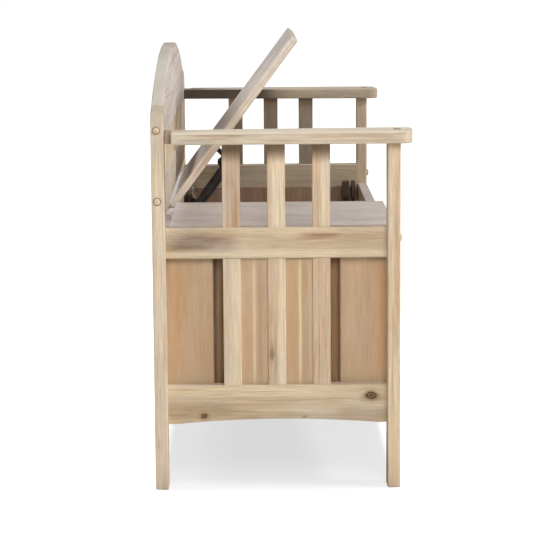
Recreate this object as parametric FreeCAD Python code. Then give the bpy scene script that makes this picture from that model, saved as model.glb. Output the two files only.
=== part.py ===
import FreeCAD, Part
import math
import os

# ---------------------------------------------------------------------------
# Settle bench: slatted wooden bench with arms, an arched back and a storage
# box under two hinged seat lids.
# Millimetres.  +X runs along the bench to its right-hand end (left and right
# as seen from in front), +Y to the back, +Z up.  Origin: centre of the
# footprint, on the floor.  The right-hand lid is modelled open, on its stay.
# ---------------------------------------------------------------------------

# ---- driving dimensions ----------------------------------------------------
POST_OUT = 545.0          # outer faces of the four posts, |X|
POST_W = 41.0             # post width along X
POST_T = 23.0             # post thickness along Y
POST_IN = POST_OUT - POST_W
BACK_Y = 231.0            # rear faces of the back posts
BP_FRONT = BACK_Y - POST_T
FP_FRONT = -208.5         # front faces of the front posts
FP_BACK = FP_FRONT + POST_T
ARM_TOP = 644.5
ARM_T = 22.0
ARM_BOT = ARM_TOP - ARM_T
ARM_TIP = -233.97         # front edge of the arms, at its inner end
ARM_TIP_OUT = -227.2      # and at its outer end
ARM_OUT = 563.5           # outer edge of the arms, |X|
ARM_IN_REAR = 504.0       # inner edge at the back
ARM_IN_FRONT = 479.5      # inner edge at the front
ARM_NECK = 197.0          # the neck runs from here back to the post
ARM_NECK_OUT = 539.0

RAIL_OUT = 524.0          # side rails, |X| of the outer face
RAIL_IN = 498.5
SEAT_RAIL_Z = (415.5, 471.2)
LOW_RAIL_Z = (115.5, 185.2)
LOW_RAIL_RISE = 8.0       # arch under the lower rails
SLAT_W = 32.0
SLAT_OUT = 521.0
SLAT_IN = 502.5
SLAT_Y = (91.0, 11.0, -69.0)
PANEL_IN = 490.5          # side panels, |X|
PANEL_OUT = RAIL_IN
BOARD_OUT = 508.0         # boards over the panel beside the slats
BOARD_REAR_Y = (124.5, BP_FRONT)
BOARD_FRONT_Y = (FP_BACK, -102.0)
BOARD_ROUND = 4.5         # rounding of their inner edges
INFILL_OUT = 516.5        # boards between the slats, under the seat rail
POST_TOP_R = 21.0         # rounding of the back posts' outer top corners
RAIL_BOLT_X = 513.5       # |X| of the bolts along Y
SIDE_PANEL_Z = (150.0, 420.0)

BACK_RAIL_T = 21.0
BR_FRONT = BACK_Y - BACK_RAIL_T
CREST_BOT = 622.0
CREST_PEAK = 773.8
CREST_END = 674.0         # height of the arch at |X| = POST_OUT
BACK_RAIL_Z = (484.0, 552.0)
BACK_SLAT_PITCH = 84.0
BACK_SLAT_Y = (213.0, 229.0)

FRAIL_Y = (-208.0, -187.0)      # front rails, front and rear face
FRONT_TOP_Z = (367.0, 427.0)
FRONT_PANEL_Y = (-187.0, -179.0)
FRONT_BOARD_Y = (-196.0, -187.0)
FRONT_SLAT_Y = (-205.5, -190.0)
STILE_HALF = 22.0
BOX_PANEL_Z = (150.0, 390.0)
BOX_BACK_RAIL_Z = (374.5, 430.5)
BACK_PANEL_Y = (203.0, BR_FRONT)
FLOOR_Z = (172.0, 184.0)
CLEAT = 20.0
BEARER_HALF = 20.0
BEARER_Z = (394.5, 434.5)

LID_Z = (434.5, 450.0)
LID_Y = (-213.0, 210.0)
LID_X = (1.5, 470.0)
HINGE_Y = 214.0
HINGE_Z = 433.5
OPEN_DEG = 53.2           # the right-hand lid stands open at this angle
HINGE_X = (92.0, 384.0)   # hinge centres on each lid, |X|
HINGE_L = 64.0
LEAF_T = 2.0
KNUCKLE_R = 2.8
PIN_R = 1.5

STAY_A = (197.0, 398.5)   # lower pivot of the stay (Y, Z)
STAY_B_CLOSED = (101.0, 424.2)
PIN_B_R = 4.0
PLUG_R = 7.0
PLUG_PROUD = 2.6
FRONT_PROUD = 4.4          # plugs on the front posts
REST_Y = ((-166.0, -151.0), (-179.0, -171.5))   # rests under the lids' outer ends
REST_X = (455.0, PANEL_IN)
REST_Z = (398.0, LID_Z[0])
REAR_PROUD = 1.5          # plugs on the rear faces of the back posts

V = FreeCAD.Vector
os.makedirs("parts", exist_ok=True)


# ---- helpers ---------------------------------------------------------------
def box(x0, x1, y0, y1, z0, z1):
    x0, x1 = min(x0, x1), max(x0, x1)
    y0, y1 = min(y0, y1), max(y0, y1)
    z0, z1 = min(z0, z1), max(z0, z1)
    return Part.makeBox(x1 - x0, y1 - y0, z1 - z0, V(x0, y0, z0))


def long_edges(shape, axis):
    """Straight edges that run along one axis."""
    out = []
    for e in shape.Edges:
        if len(e.Vertexes) != 2:
            continue
        d = e.Vertexes[1].Point.sub(e.Vertexes[0].Point)
        if d.Length < 1e-6:
            continue
        c = (abs(d.x), abs(d.y), abs(d.z))
        if c[axis] / d.Length > 0.99999 and isinstance(e.Curve, (Part.Line, Part.LineSegment)):
            out.append(e)
    return out


def rounded(shape, axis, r):
    return shape.makeFillet(r, long_edges(shape, axis))


def cyl(p0, p1, r):
    a, b = V(*p0), V(*p1)
    d = b.sub(a)
    return Part.makeCylinder(r, d.Length, a, d)


def prism_x(points, x0, x1):
    """Polygon in the YZ plane, extruded from x0 to x1."""
    x0, x1 = min(x0, x1), max(x0, x1)
    pts = [V(x0, y, z) for y, z in points]
    face = Part.Face(Part.makePolygon(pts + [pts[0]]))
    return face.extrude(V(x1 - x0, 0, 0))


def turned(profile, origin, direction):
    """Solid of revolution: profile of (radius, height) points and arcs about
    the axis through origin along direction, built along +Z first."""
    face = Part.Face(Part.Wire(profile))
    solid = face.revolve(V(0, 0, 0), V(0, 0, 1), 360)
    if solid.ShapeType != "Solid":
        solid = Part.Solid(solid) if solid.ShapeType == "Shell" else solid
    rot = FreeCAD.Rotation(V(0, 0, 1), V(*direction))
    solid.Placement = FreeCAD.Placement(V(*origin), rot)
    return solid


def save(name, *solids):
    clean = []
    for s in solids:
        for part in s.Solids:
            if not part.isValid():
                raise RuntimeError(name + " holds an invalid solid")
            clean.append(part)
    shape = clean[0] if len(clean) == 1 else Part.makeCompound(clean)
    shape.exportStep("parts/" + name + ".step")


def yz(p, x):
    return (x, p[0], p[1])


def tilt(shape, degrees):
    """Turns a lid-borne shape about the hinge line; positive opens."""
    s = shape.copy()
    s.rotate(V(0, HINGE_Y, HINGE_Z), V(-1, 0, 0), degrees)
    return s


def tilt_point(p, degrees, centre=(HINGE_Y, HINGE_Z)):
    a = math.radians(degrees)
    dy, dz = p[0] - centre[0], p[1] - centre[1]
    # turning about -X: Y -> Y cos + Z sin, Z -> -Y sin + Z cos
    return (centre[0] + dy * math.cos(a) + dz * math.sin(a),
            centre[1] - dy * math.sin(a) + dz * math.cos(a))


# ---- the arch of the back --------------------------------------------------
SAG = CREST_PEAK - CREST_END
ARCH_R = (POST_OUT ** 2 + SAG ** 2) / (2 * SAG)
ARCH_C = CREST_PEAK - ARCH_R


def arch_z(x):
    return ARCH_C + math.sqrt(ARCH_R ** 2 - x ** 2)


def arched_board(x0, x1, y0, y1, z0):
    """Board with a flat bottom edge and a top edge on the arch."""
    pa, pb = V(x0, y0, arch_z(x0)), V(x1, y0, arch_z(x1))
    xm = (x0 + x1) / 2
    top = Part.Arc(pa, V(xm, y0, arch_z(xm)), pb).toShape()
    wire = Part.Wire([
        Part.makeLine(V(x0, y0, z0), pa), top,
        Part.makeLine(pb, V(x1, y0, z0)),
        Part.makeLine(V(x1, y0, z0), V(x0, y0, z0))])
    return Part.Face(wire).extrude(V(0, y1 - y0, 0))


def arc_edges(shape, min_len=20.0):
    return [e for e in shape.Edges if isinstance(e.Curve, Part.Circle) and e.Length > min_len]


# ---- plugs and bolts -------------------------------------------------------
def plug(origin, outward, depth, radius=PLUG_R, proud=PLUG_PROUD):
    """Domed wooden plug; origin is on the face, outward leaves the wood."""
    rim = 0.7 if proud < 4.0 else proud - 1.3
    cap = proud - rim
    mid_r = radius * 0.62
    sphere = (radius ** 2 + cap ** 2) / (2 * cap)
    mid_h = rim + math.sqrt(sphere ** 2 - mid_r ** 2) - (sphere - cap)
    edges = [
        Part.makeLine(V(0, 0, -depth), V(radius, 0, -depth)),
        Part.makeLine(V(radius, 0, -depth), V(radius, 0, rim)),
        Part.Arc(V(radius, 0, rim), V(mid_r, 0, mid_h), V(0, 0, proud)).toShape(),
        Part.makeLine(V(0, 0, proud), V(0, 0, -depth))]
    return turned(edges, origin, outward)


def bolt(origin, outward, seat, head_r, head_t, shank_r, length):
    """Bolt whose head sits at depth `seat` under the face."""
    n = V(*outward)
    o = V(*origin)
    head_bottom = o.sub(n * seat)
    head = Part.makeCylinder(head_r, head_t, head_bottom, n)
    socket = Part.makeCylinder(head_r * 0.45, head_t * 0.6, head_bottom + n * (head_t * 0.4), n)
    shank = Part.makeCylinder(shank_r, length, head_bottom, n * -1)
    return head.cut(socket).fuse(shank).removeSplitter()


def bolt_cut(origin, outward, seat, bore_r, hole_r, length):
    """Counterbore and hole for a bolt."""
    n = V(*outward)
    o = V(*origin)
    wide = Part.makeCylinder(bore_r, seat + 5, o.sub(n * seat), n)
    deep = Part.makeCylinder(hole_r, length + 1.5, o.sub(n * (seat - 0.01)), n * -1)
    return wide.fuse(deep)


SEAT = 12.0
BOLT_SPECS = []    # (origin, outward, shank length)
for sx in (-1, 1):
    BOLT_SPECS.append(((sx * POST_OUT, 221.0, 646.5), (sx, 0, 0), 72.0))
    BOLT_SPECS.append(((sx * POST_OUT, 221.0, 521.5), (sx, 0, 0), 72.0))
    BOLT_SPECS.append(((sx * RAIL_BOLT_X, FP_FRONT, 450.0), (0, -1, 0), 52.0))
    BOLT_SPECS.append(((sx * RAIL_BOLT_X, BACK_Y, 450.0), (0, 1, 0), 52.0))
    BOLT_SPECS.append(((sx * RAIL_BOLT_X, BACK_Y, 631.0), (0, 1, 0), 52.0))
ARM_SCREW_XY = [(sx * 524.5, -203.0) for sx in (-1, 1)]

BOLT_CUTS = Part.makeCompound([
    bolt_cut(o, n, SEAT, PLUG_R + 0.3, 3.4, length) for o, n, length in BOLT_SPECS])


def bolted(shape):
    return shape.cut(BOLT_CUTS)


save("joint_bolts", *[bolt(o, n, SEAT, 5.5, 4.0, 3.0, length) for o, n, length in BOLT_SPECS])
save("post_plugs", *[plug(o, n, SEAT - 4.0, proud={1: REAR_PROUD, 0: PLUG_PROUD, -1: FRONT_PROUD}[n[1]])
                     for o, n, length in BOLT_SPECS])

# ---- posts -----------------------------------------------------------------
for side, sx in (("left", -1), ("right", 1)):
    x0, x1 = sorted((sx * POST_IN, sx * POST_OUT))

    post = arched_board(x0, x1, BP_FRONT, BACK_Y, 0.0)
    corner = [e for e in long_edges(post, 1) if abs(abs(e.CenterOfMass.x) - POST_OUT) < 0.01
              and e.CenterOfMass.z > 600]
    post = post.makeFillet(POST_TOP_R, corner)
    # outer contour: up the outer face, round the corner and along the arch
    rim = [e for e in post.Edges if e.BoundBox.ZMax > 100
           and e.BoundBox.YMax - e.BoundBox.YMin < 0.01
           and not (e.BoundBox.XMax - e.BoundBox.XMin < 0.01 and abs(abs(e.CenterOfMass.x) - POST_IN) < 0.01)]
    post = post.makeFillet(1.9, rim)
    inner = [e for e in long_edges(post, 2) if abs(abs(e.CenterOfMass.x) - POST_IN) < 0.01 and e.Length > 400]
    post = post.makeFillet(1.7, inner)
    feet = [e for e in post.Edges if e.BoundBox.ZMax < 0.01]
    post = post.makeChamfer(1.2, feet)
    save("back_post_" + side, bolted(post))

    post = box(x0, x1, FP_FRONT, FP_BACK, 0.0, ARM_BOT)
    post = rounded(post, 2, 2.6)
    feet = [e for e in post.Edges if e.BoundBox.ZMax < 0.01]
    post = post.makeChamfer(1.2, feet)
    post = bolted(post)
    ax, ay = sx * 524.5, -203.0
    post = post.cut(cyl((ax, ay, ARM_BOT - 46), (ax, ay, ARM_BOT + 1), 2.9))
    save("front_post_" + side, post)

# ---- arched back -----------------------------------------------------------
crest = arched_board(-POST_IN, POST_IN, BR_FRONT, BACK_Y, CREST_BOT)
crest = crest.makeFillet(1.9, arc_edges(crest) + [
    e for e in long_edges(crest, 0)])
save("crest_rail", bolted(crest))

lower = box(-POST_IN, POST_IN, BR_FRONT, BACK_Y, *BACK_RAIL_Z)
save("lower_back_rail", bolted(rounded(lower, 0, 2.6)))

slats = []
for i in range(-5, 6):
    x = i * BACK_SLAT_PITCH
    s = box(x - SLAT_W / 2, x + SLAT_W / 2, *BACK_SLAT_Y, BACK_RAIL_Z[1], CREST_BOT)
    slats.append(rounded(s, 2, 2.0))
save("back_slats", *slats)


# ---- arms ------------------------------------------------------------------
def arm(sx):
    tip_r = 19.0
    pts = [
        (ARM_NECK_OUT, BP_FRONT), (ARM_NECK_OUT, ARM_NECK), (ARM_OUT, ARM_NECK - 3.0),
        (ARM_OUT, ARM_TIP_OUT), (ARM_IN_FRONT, ARM_TIP), (ARM_IN_REAR, ARM_NECK - 12.0),
        (ARM_IN_REAR, BP_FRONT)]
    vs = [V(sx * x, y, ARM_BOT) for x, y in pts]
    plate = Part.Face(Part.makePolygon(vs + [vs[0]])).extrude(V(0, 0, ARM_T))
    tips = [e for e in long_edges(plate, 2) if e.BoundBox.YMax < ARM_TIP_OUT + 0.01]
    plate = plate.makeFillet(tip_r, tips)
    shoulder = [e for e in long_edges(plate, 2)
                if abs(abs(e.CenterOfMass.x) - ARM_OUT) < 0.1 and e.CenterOfMass.y > 150]
    plate = plate.makeFillet(2.0, shoulder)
    rims = [e for e in plate.Edges
            if (abs(e.BoundBox.ZMin - e.BoundBox.ZMax) < 1e-6)
            and e.CenterOfMass.y < BP_FRONT - 0.5
            and not (e.BoundBox.YMin > ARM_NECK - 0.01)]
    rims = [e for e in rims if e.BoundBox.YMax <= ARM_NECK - 2.9 or e.BoundBox.YMin < ARM_TIP + 30]
    try:
        plate = plate.makeFillet(3.0, rims)
    except Exception:
        rims = [e for e in rims if e.Length > 25]
        plate = plate.makeFillet(2.0, rims)
    return plate


for side, sx in (("left", -1), ("right", 1)):
    a = arm(sx)
    ax, ay = sx * 524.5, -203.0
    a = a.cut(cyl((ax, ay, ARM_TOP - 10), (ax, ay, ARM_TOP + 3), 6.8))
    a = a.cut(cyl((ax, ay, ARM_BOT - 1), (ax, ay, ARM_TOP), 2.9))
    save("armrest_" + side, bolted(a))

arm_screws, arm_plugs = [], []
for ax, ay in ARM_SCREW_XY:
    arm_screws.append(bolt((ax, ay, ARM_TOP), (0, 0, 1), 10.0, 4.6, 3.0, 2.5, 54.0))
    arm_plugs.append(plug((ax, ay, ARM_TOP), (0, 0, 1), 7.0, radius=6.5, proud=1.1))
save("arm_screws", *arm_screws)
save("arm_plugs", *arm_plugs)


# ---- side frames -----------------------------------------------------------
def arched_rail_side(x0, x1):
    """Lower side rail: flat top, bottom edge rising in a shallow arch."""
    z0, z1 = LOW_RAIL_Z
    land = 16.0
    y0, y1 = FP_BACK, BP_FRONT
    ym = (y0 + y1) / 2
    x0, x1 = min(x0, x1), max(x0, x1)
    wire = Part.Wire([
        Part.makeLine(V(x0, y0, z0), V(x0, y0, z1)),
        Part.makeLine(V(x0, y0, z1), V(x0, y1, z1)),
        Part.makeLine(V(x0, y1, z1), V(x0, y1, z0)),
        Part.makeLine(V(x0, y1, z0), V(x0, y1 - land, z0)),
        Part.Arc(V(x0, y1 - land, z0), V(x0, ym, z0 + LOW_RAIL_RISE), V(x0, y0 + land, z0)).toShape(),
        Part.makeLine(V(x0, y0 + land, z0), V(x0, y0, z0))])
    rail = Part.Face(wire).extrude(V(x1 - x0, 0, 0))
    return rail.makeFillet(2.0, [e for e in long_edges(rail, 1) if e.Length > 100])


for side, sx in (("left", -1), ("right", 1)):
    rail = box(sx * RAIL_IN, sx * RAIL_OUT, FP_BACK, BP_FRONT, *SEAT_RAIL_Z)
    save("seat_side_rail_" + side, bolted(rounded(rail, 1, 2.4)))
    save("lower_side_rail_" + side, arched_rail_side(sx * RAIL_IN, sx * RAIL_OUT))

    upper, under = [], []
    for y in SLAT_Y:
        s = box(sx * SLAT_IN, sx * SLAT_OUT, y - SLAT_W / 2, y + SLAT_W / 2, SEAT_RAIL_Z[1], ARM_BOT)
        upper.append(rounded(s, 2, 2.0))
        s = box(sx * SLAT_IN, sx * SLAT_OUT, y - SLAT_W / 2, y + SLAT_W / 2, LOW_RAIL_Z[1], SEAT_RAIL_Z[0])
        under.append(rounded(s, 2, 2.0))
    save("arm_slats_" + side, *upper)
    save("panel_slats_" + side, *under)

    boards = []
    for (y0, y1), edge_y in ((BOARD_REAR_Y, BOARD_REAR_Y[0]), (BOARD_FRONT_Y, BOARD_FRONT_Y[1])):
        b = box(sx * PANEL_OUT, sx * BOARD_OUT, y0, y1, LOW_RAIL_Z[1], SEAT_RAIL_Z[0])
        e = [e for e in long_edges(b, 2)
             if abs(e.CenterOfMass.y - edge_y) < 0.01 and abs(abs(e.CenterOfMass.x) - BOARD_OUT) < 0.01]
        boards.append(b.makeFillet(BOARD_ROUND, e))
    for ya, yb in zip(SLAT_Y[1:], SLAT_Y):
        b = box(sx * PANEL_OUT, sx * INFILL_OUT, ya + SLAT_W / 2, yb - SLAT_W / 2, LOW_RAIL_Z[1], SEAT_RAIL_Z[0])
        boards.append(b)
    save("side_boards_" + side, *boards)

# ---- front of the box ------------------------------------------------------
top = box(-POST_IN, POST_IN, *FRAIL_Y, *FRONT_TOP_Z)
save("front_top_rail", rounded(top, 0, 2.0))

z0, z1 = LOW_RAIL_Z
land = 70.0
y0, y1 = FRAIL_Y
wire = Part.Wire([
    Part.makeLine(V(-POST_IN, y0, z0), V(-POST_IN, y0, z1)),
    Part.makeLine(V(-POST_IN, y0, z1), V(POST_IN, y0, z1)),
    Part.makeLine(V(POST_IN, y0, z1), V(POST_IN, y0, z0)),
    Part.makeLine(V(POST_IN, y0, z0), V(POST_IN - land, y0, z0)),
    Part.Arc(V(POST_IN - land, y0, z0), V(0, y0, z0 + 20.0), V(-POST_IN + land, y0, z0)).toShape(),
    Part.makeLine(V(-POST_IN + land, y0, z0), V(-POST_IN, y0, z0))])
apron = Part.Face(wire).extrude(V(0, y1 - y0, 0))
apron = apron.makeFillet(2.0, [e for e in long_edges(apron, 0) if e.Length > 500])
save("front_lower_rail", apron)

stile = box(-STILE_HALF, STILE_HALF, *FRAIL_Y, LOW_RAIL_Z[1], FRONT_TOP_Z[0])
save("front_center_stile", rounded(stile, 2, 2.0))

save("front_panel", box(-PANEL_IN, PANEL_IN, *FRONT_PANEL_Y, *BOX_PANEL_Z))

slats, boards = [], []
for sx in (-1, 1):
    mid = (STILE_HALF + POST_IN) / 2
    for dx in (-80.0, 0.0, 80.0):
        x = sx * (mid + dx)
        s = box(x - SLAT_W / 2, x + SLAT_W / 2, *FRONT_SLAT_Y, LOW_RAIL_Z[1], FRONT_TOP_Z[0])
        slats.append(rounded(s, 2, 2.0))
    for x0, x1, edge in ((STILE_HALF, mid - 113.5, mid - 113.5), (mid + 113.5, POST_IN, mid + 113.5)):
        b = box(sx * x0, sx * x1, *FRONT_BOARD_Y, LOW_RAIL_Z[1], FRONT_TOP_Z[0])
        e = [e for e in long_edges(b, 2)
             if abs(abs(e.CenterOfMass.x) - edge) < 0.01 and abs(e.CenterOfMass.y - FRONT_BOARD_Y[0]) < 0.01]
        boards.append(b.makeFillet(BOARD_ROUND, e))
save("front_slats", *slats)
save("front_boards", *boards)

# ---- hinge positions and their screws --------------------------------------
FIXED_SCREW_Y = 223.5
LID_SCREW_Y = (191.0, 201.0, 191.0)
SCREW_DX = (-22.0, 0.0, 22.0)
SCREW_R, SCREW_HEAD_R, SCREW_HEAD_T = 1.7, 3.4, 1.6


def wood_screw(origin, outward, length):
    """Small pan-head screw; origin is on the plate that its head sits on."""
    n, o = V(*outward), V(*origin)
    head = Part.makeCylinder(SCREW_HEAD_R, SCREW_HEAD_T, o, n)
    head = head.makeFillet(0.9, [e for e in head.Edges
                                 if isinstance(e.Curve, Part.Circle)
                                 and e.CenterOfMass.sub(o).Length > SCREW_HEAD_T - 0.01])
    helper = V(1, 0, 0) if abs(n.x) < 0.5 else V(0, 1, 0)
    other = n.cross(helper)
    rot = FreeCAD.Rotation(helper, other, n, "ZXY")
    slots = []
    for w, d in ((0.9, 4.2), (4.2, 0.9)):
        s = Part.makeBox(w, d, 1.0, V(-w / 2, -d / 2, 0.7))
        s.Placement = FreeCAD.Placement(o, rot)
        slots.append(s)
    head = head.cut(slots[0]).cut(slots[1])
    shank = Part.makeCylinder(SCREW_R, length, o, n * -1)
    return head.fuse(shank).removeSplitter()


def screw_hole(origin, outward, length):
    n, o = V(*outward), V(*origin)
    return Part.makeCylinder(SCREW_R + 0.3, length + 1.5, o + n * 0.01, n * -1)


hinge_x = [sx * x for sx in (-1, 1) for x in HINGE_X]
fixed_screws = [((hx + dx, FIXED_SCREW_Y, HINGE_Z - 1.0), (0, 0, 1), 16.0)
                for hx in hinge_x for dx in SCREW_DX]

# ---- back of the box -------------------------------------------------------
rail = box(-POST_IN, POST_IN, BR_FRONT, BACK_Y, *BOX_BACK_RAIL_Z)
rail = rounded(rail, 0, 1.2)
rail = rail.cut(Part.makeCompound([screw_hole(o, n, length) for o, n, length in fixed_screws]))
save("box_back_top_rail", rail)
rail = box(-POST_IN, POST_IN, BR_FRONT, BACK_Y, *LOW_RAIL_Z)
save("box_back_bottom_rail", rounded(rail, 0, 2.0))
save("box_back_panel", box(-PANEL_IN, PANEL_IN, *BACK_PANEL_Y, *BOX_PANEL_Z))

# ---- inside of the box -----------------------------------------------------
save("box_floor", box(-PANEL_IN, PANEL_IN, FRONT_PANEL_Y[1], BACK_PANEL_Y[0], *FLOOR_Z))
cz = (FLOOR_Z[0] - CLEAT, FLOOR_Z[0])
save("floor_cleats",
     box(-PANEL_IN, -PANEL_IN + CLEAT, FRONT_PANEL_Y[1], BACK_PANEL_Y[0], *cz),
     box(PANEL_IN - CLEAT, PANEL_IN, FRONT_PANEL_Y[1], BACK_PANEL_Y[0], *cz),
     box(-PANEL_IN + CLEAT, PANEL_IN - CLEAT, FRONT_PANEL_Y[1], FRONT_PANEL_Y[1] + CLEAT, *cz),
     box(-PANEL_IN + CLEAT, PANEL_IN - CLEAT, BACK_PANEL_Y[0] - CLEAT, BACK_PANEL_Y[0], *cz))
bearer = box(-BEARER_HALF, BEARER_HALF, FRAIL_Y[1], BR_FRONT, *BEARER_Z)
save("center_bearer", rounded(bearer, 1, 2.0))
save("lid_rests", *[rounded(box(sx * REST_X[0], sx * REST_X[1], *ys, *REST_Z), 2, 1.2)
                    for sx in (-1, 1) for ys in REST_Y])

# ---- hinges ----------------------------------------------------------------
GAP = 0.4
K = HINGE_L / 5.0


def knuckles(cx, which):
    """The barrel is cut into five; 0, 2 and 4 stand on the fixed leaf."""
    out = []
    for i in range(5):
        if (i % 2 == 0) != (which == "fixed"):
            continue
        a = cx - HINGE_L / 2 + i * K + (GAP / 2 if i else 0.0)
        b = cx - HINGE_L / 2 + (i + 1) * K - (GAP / 2 if i < 4 else 0.0)
        out.append((a, b))
    return out


def leaf(cx, which):
    if which == "fixed":
        y0, y1, z0, z1 = HINGE_Y + 1.0, 229.5, HINGE_Z - 3.0, HINGE_Z - 1.0
        bore = PIN_R
    else:
        y0, y1, z0, z1 = 185.0, HINGE_Y - 1.0, HINGE_Z - 1.0, HINGE_Z + 1.0
        bore = PIN_R + 0.06
    body = None
    for a, b in knuckles(cx, which):
        tube = cyl((a, HINGE_Y, HINGE_Z), (b, HINGE_Y, HINGE_Z), KNUCKLE_R)
        web = box(a, b, y0, y1, z0, z1)
        body = tube.fuse(web) if body is None else body.fuse(tube).fuse(web)
    far0, far1 = (HINGE_Y + 4.0, y1) if which == "fixed" else (y0, HINGE_Y - 4.0)
    plate = box(cx - HINGE_L / 2, cx + HINGE_L / 2, far0, far1, z0, z1)
    body = body.fuse(plate)
    body = body.cut(cyl((cx - HINGE_L, HINGE_Y, HINGE_Z), (cx + HINGE_L, HINGE_Y, HINGE_Z), bore))
    return body.removeSplitter()


fixed_leaves, pins = [], []
for hx in hinge_x:
    lf = leaf(hx, "fixed")
    lf = lf.cut(Part.makeCompound([
        cyl((hx + dx, FIXED_SCREW_Y, HINGE_Z - 4), (hx + dx, FIXED_SCREW_Y, HINGE_Z), SCREW_R + 0.3) for dx in SCREW_DX]))
    fixed_leaves.append(lf)
    pins.append(cyl((hx - HINGE_L / 2 - 0.6, HINGE_Y, HINGE_Z), (hx + HINGE_L / 2 + 0.6, HINGE_Y, HINGE_Z), PIN_R))
save("hinge_fixed_leaves", *fixed_leaves)
save("hinge_pins", *pins)

# ---- lid stays -------------------------------------------------------------
# A stay is a parallelogram: frame pivot A, elbow E, lid pivot B, and the
# hinge line H.  The layers below are distances |X| from the middle.
WALL = PANEL_IN                     # the base plate is screwed to the side panel
BASE_T = 2.5
ARM_X = (461.5, 464.5)              # strap, under the lid's end
LINK_X = (457.5, 460.5)
HEAD_X = (453.5, 456.9)
DAMP_R = 11.2
H = (HINGE_Y, HINGE_Z)
E_CLOSED = (STAY_A[0] + STAY_B_CLOSED[0] - H[0], STAY_A[1] + STAY_B_CLOSED[1] - H[1])
DAMP_OPEN = ((177.8, 386.4), (121.0, 463.5))   # axis of the damper when open
LINK_BEND = (-20.0, -19.6)          # where the link bends, from pivot B


def slot_plate(p, q, r, x0, x1):
    """Flat bar with round ends between two pivots."""
    dy, dz = q[0] - p[0], q[1] - p[1]
    n = math.hypot(dy, dz)
    ny, nz = -dz / n * r, dy / n * r
    x0, x1 = min(x0, x1), max(x0, x1)
    bar = prism_x([(p[0] + ny, p[1] + nz), (q[0] + ny, q[1] + nz),
                   (q[0] - ny, q[1] - nz), (p[0] - ny, p[1] - nz)], x0, x1)
    return bar.fuse(cyl(yz(p, x0), yz(p, x1), r)).fuse(cyl(yz(q, x0), yz(q, x1), r)).removeSplitter()


base_screws = []
for sx in (-1, 1):
    for p in ((188.5, 415.5), (197.5, 415.5), (193.0, 379.5)):
        base_screws.append(((sx * (WALL - BASE_T), p[0], p[1]), (-sx, 0, 0), 9.5))

stay_bases = []
for sx in (-1, 1):
    plate = box(sx * (WALL - BASE_T), sx * WALL, 183.0, 202.6, 373.5, 423.5)
    plate = plate.makeFillet(3.0, long_edges(plate, 0))
    pin = cyl(yz(STAY_A, sx * (WALL - BASE_T)), yz(STAY_A, sx * (ARM_X[0] - 1.0)), 4.0)
    pin = pin.fuse(cyl(yz(STAY_A, sx * (WALL - BASE_T)), yz(STAY_A, sx * (ARM_X[1] + 0.4)), 6.5))
    cap = cyl(yz(STAY_A, sx * (ARM_X[0] - 0.5)), yz(STAY_A, sx * (ARM_X[0] - 2.5)), 6.0)
    base = plate.fuse(pin).fuse(cap).removeSplitter()
    for o, n, length in base_screws:
        if o[0] * sx > 0:
            base = base.cut(screw_hole(o, n, BASE_T + 1))
    stay_bases.append(base)
save("stay_bases", *stay_bases)

frame_screws = [wood_screw(*s) for s in fixed_screws] + [wood_screw(*s) for s in base_screws]
save("frame_screws", *frame_screws)

# The side panels get the base screws' holes.
for side, sx in (("left", -1), ("right", 1)):
    panel = box(sx * PANEL_IN, sx * PANEL_OUT, FP_BACK, BP_FRONT, *SIDE_PANEL_Z)
    for o, n, length in base_screws:
        if o[0] * sx > 0:
            panel = panel.cut(Part.makeCylinder(SCREW_R + 0.3, 7.8, V(sx * PANEL_IN, o[1], o[2]), V(sx, 0, 0)))
    save("side_panel_" + side, panel)


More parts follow.
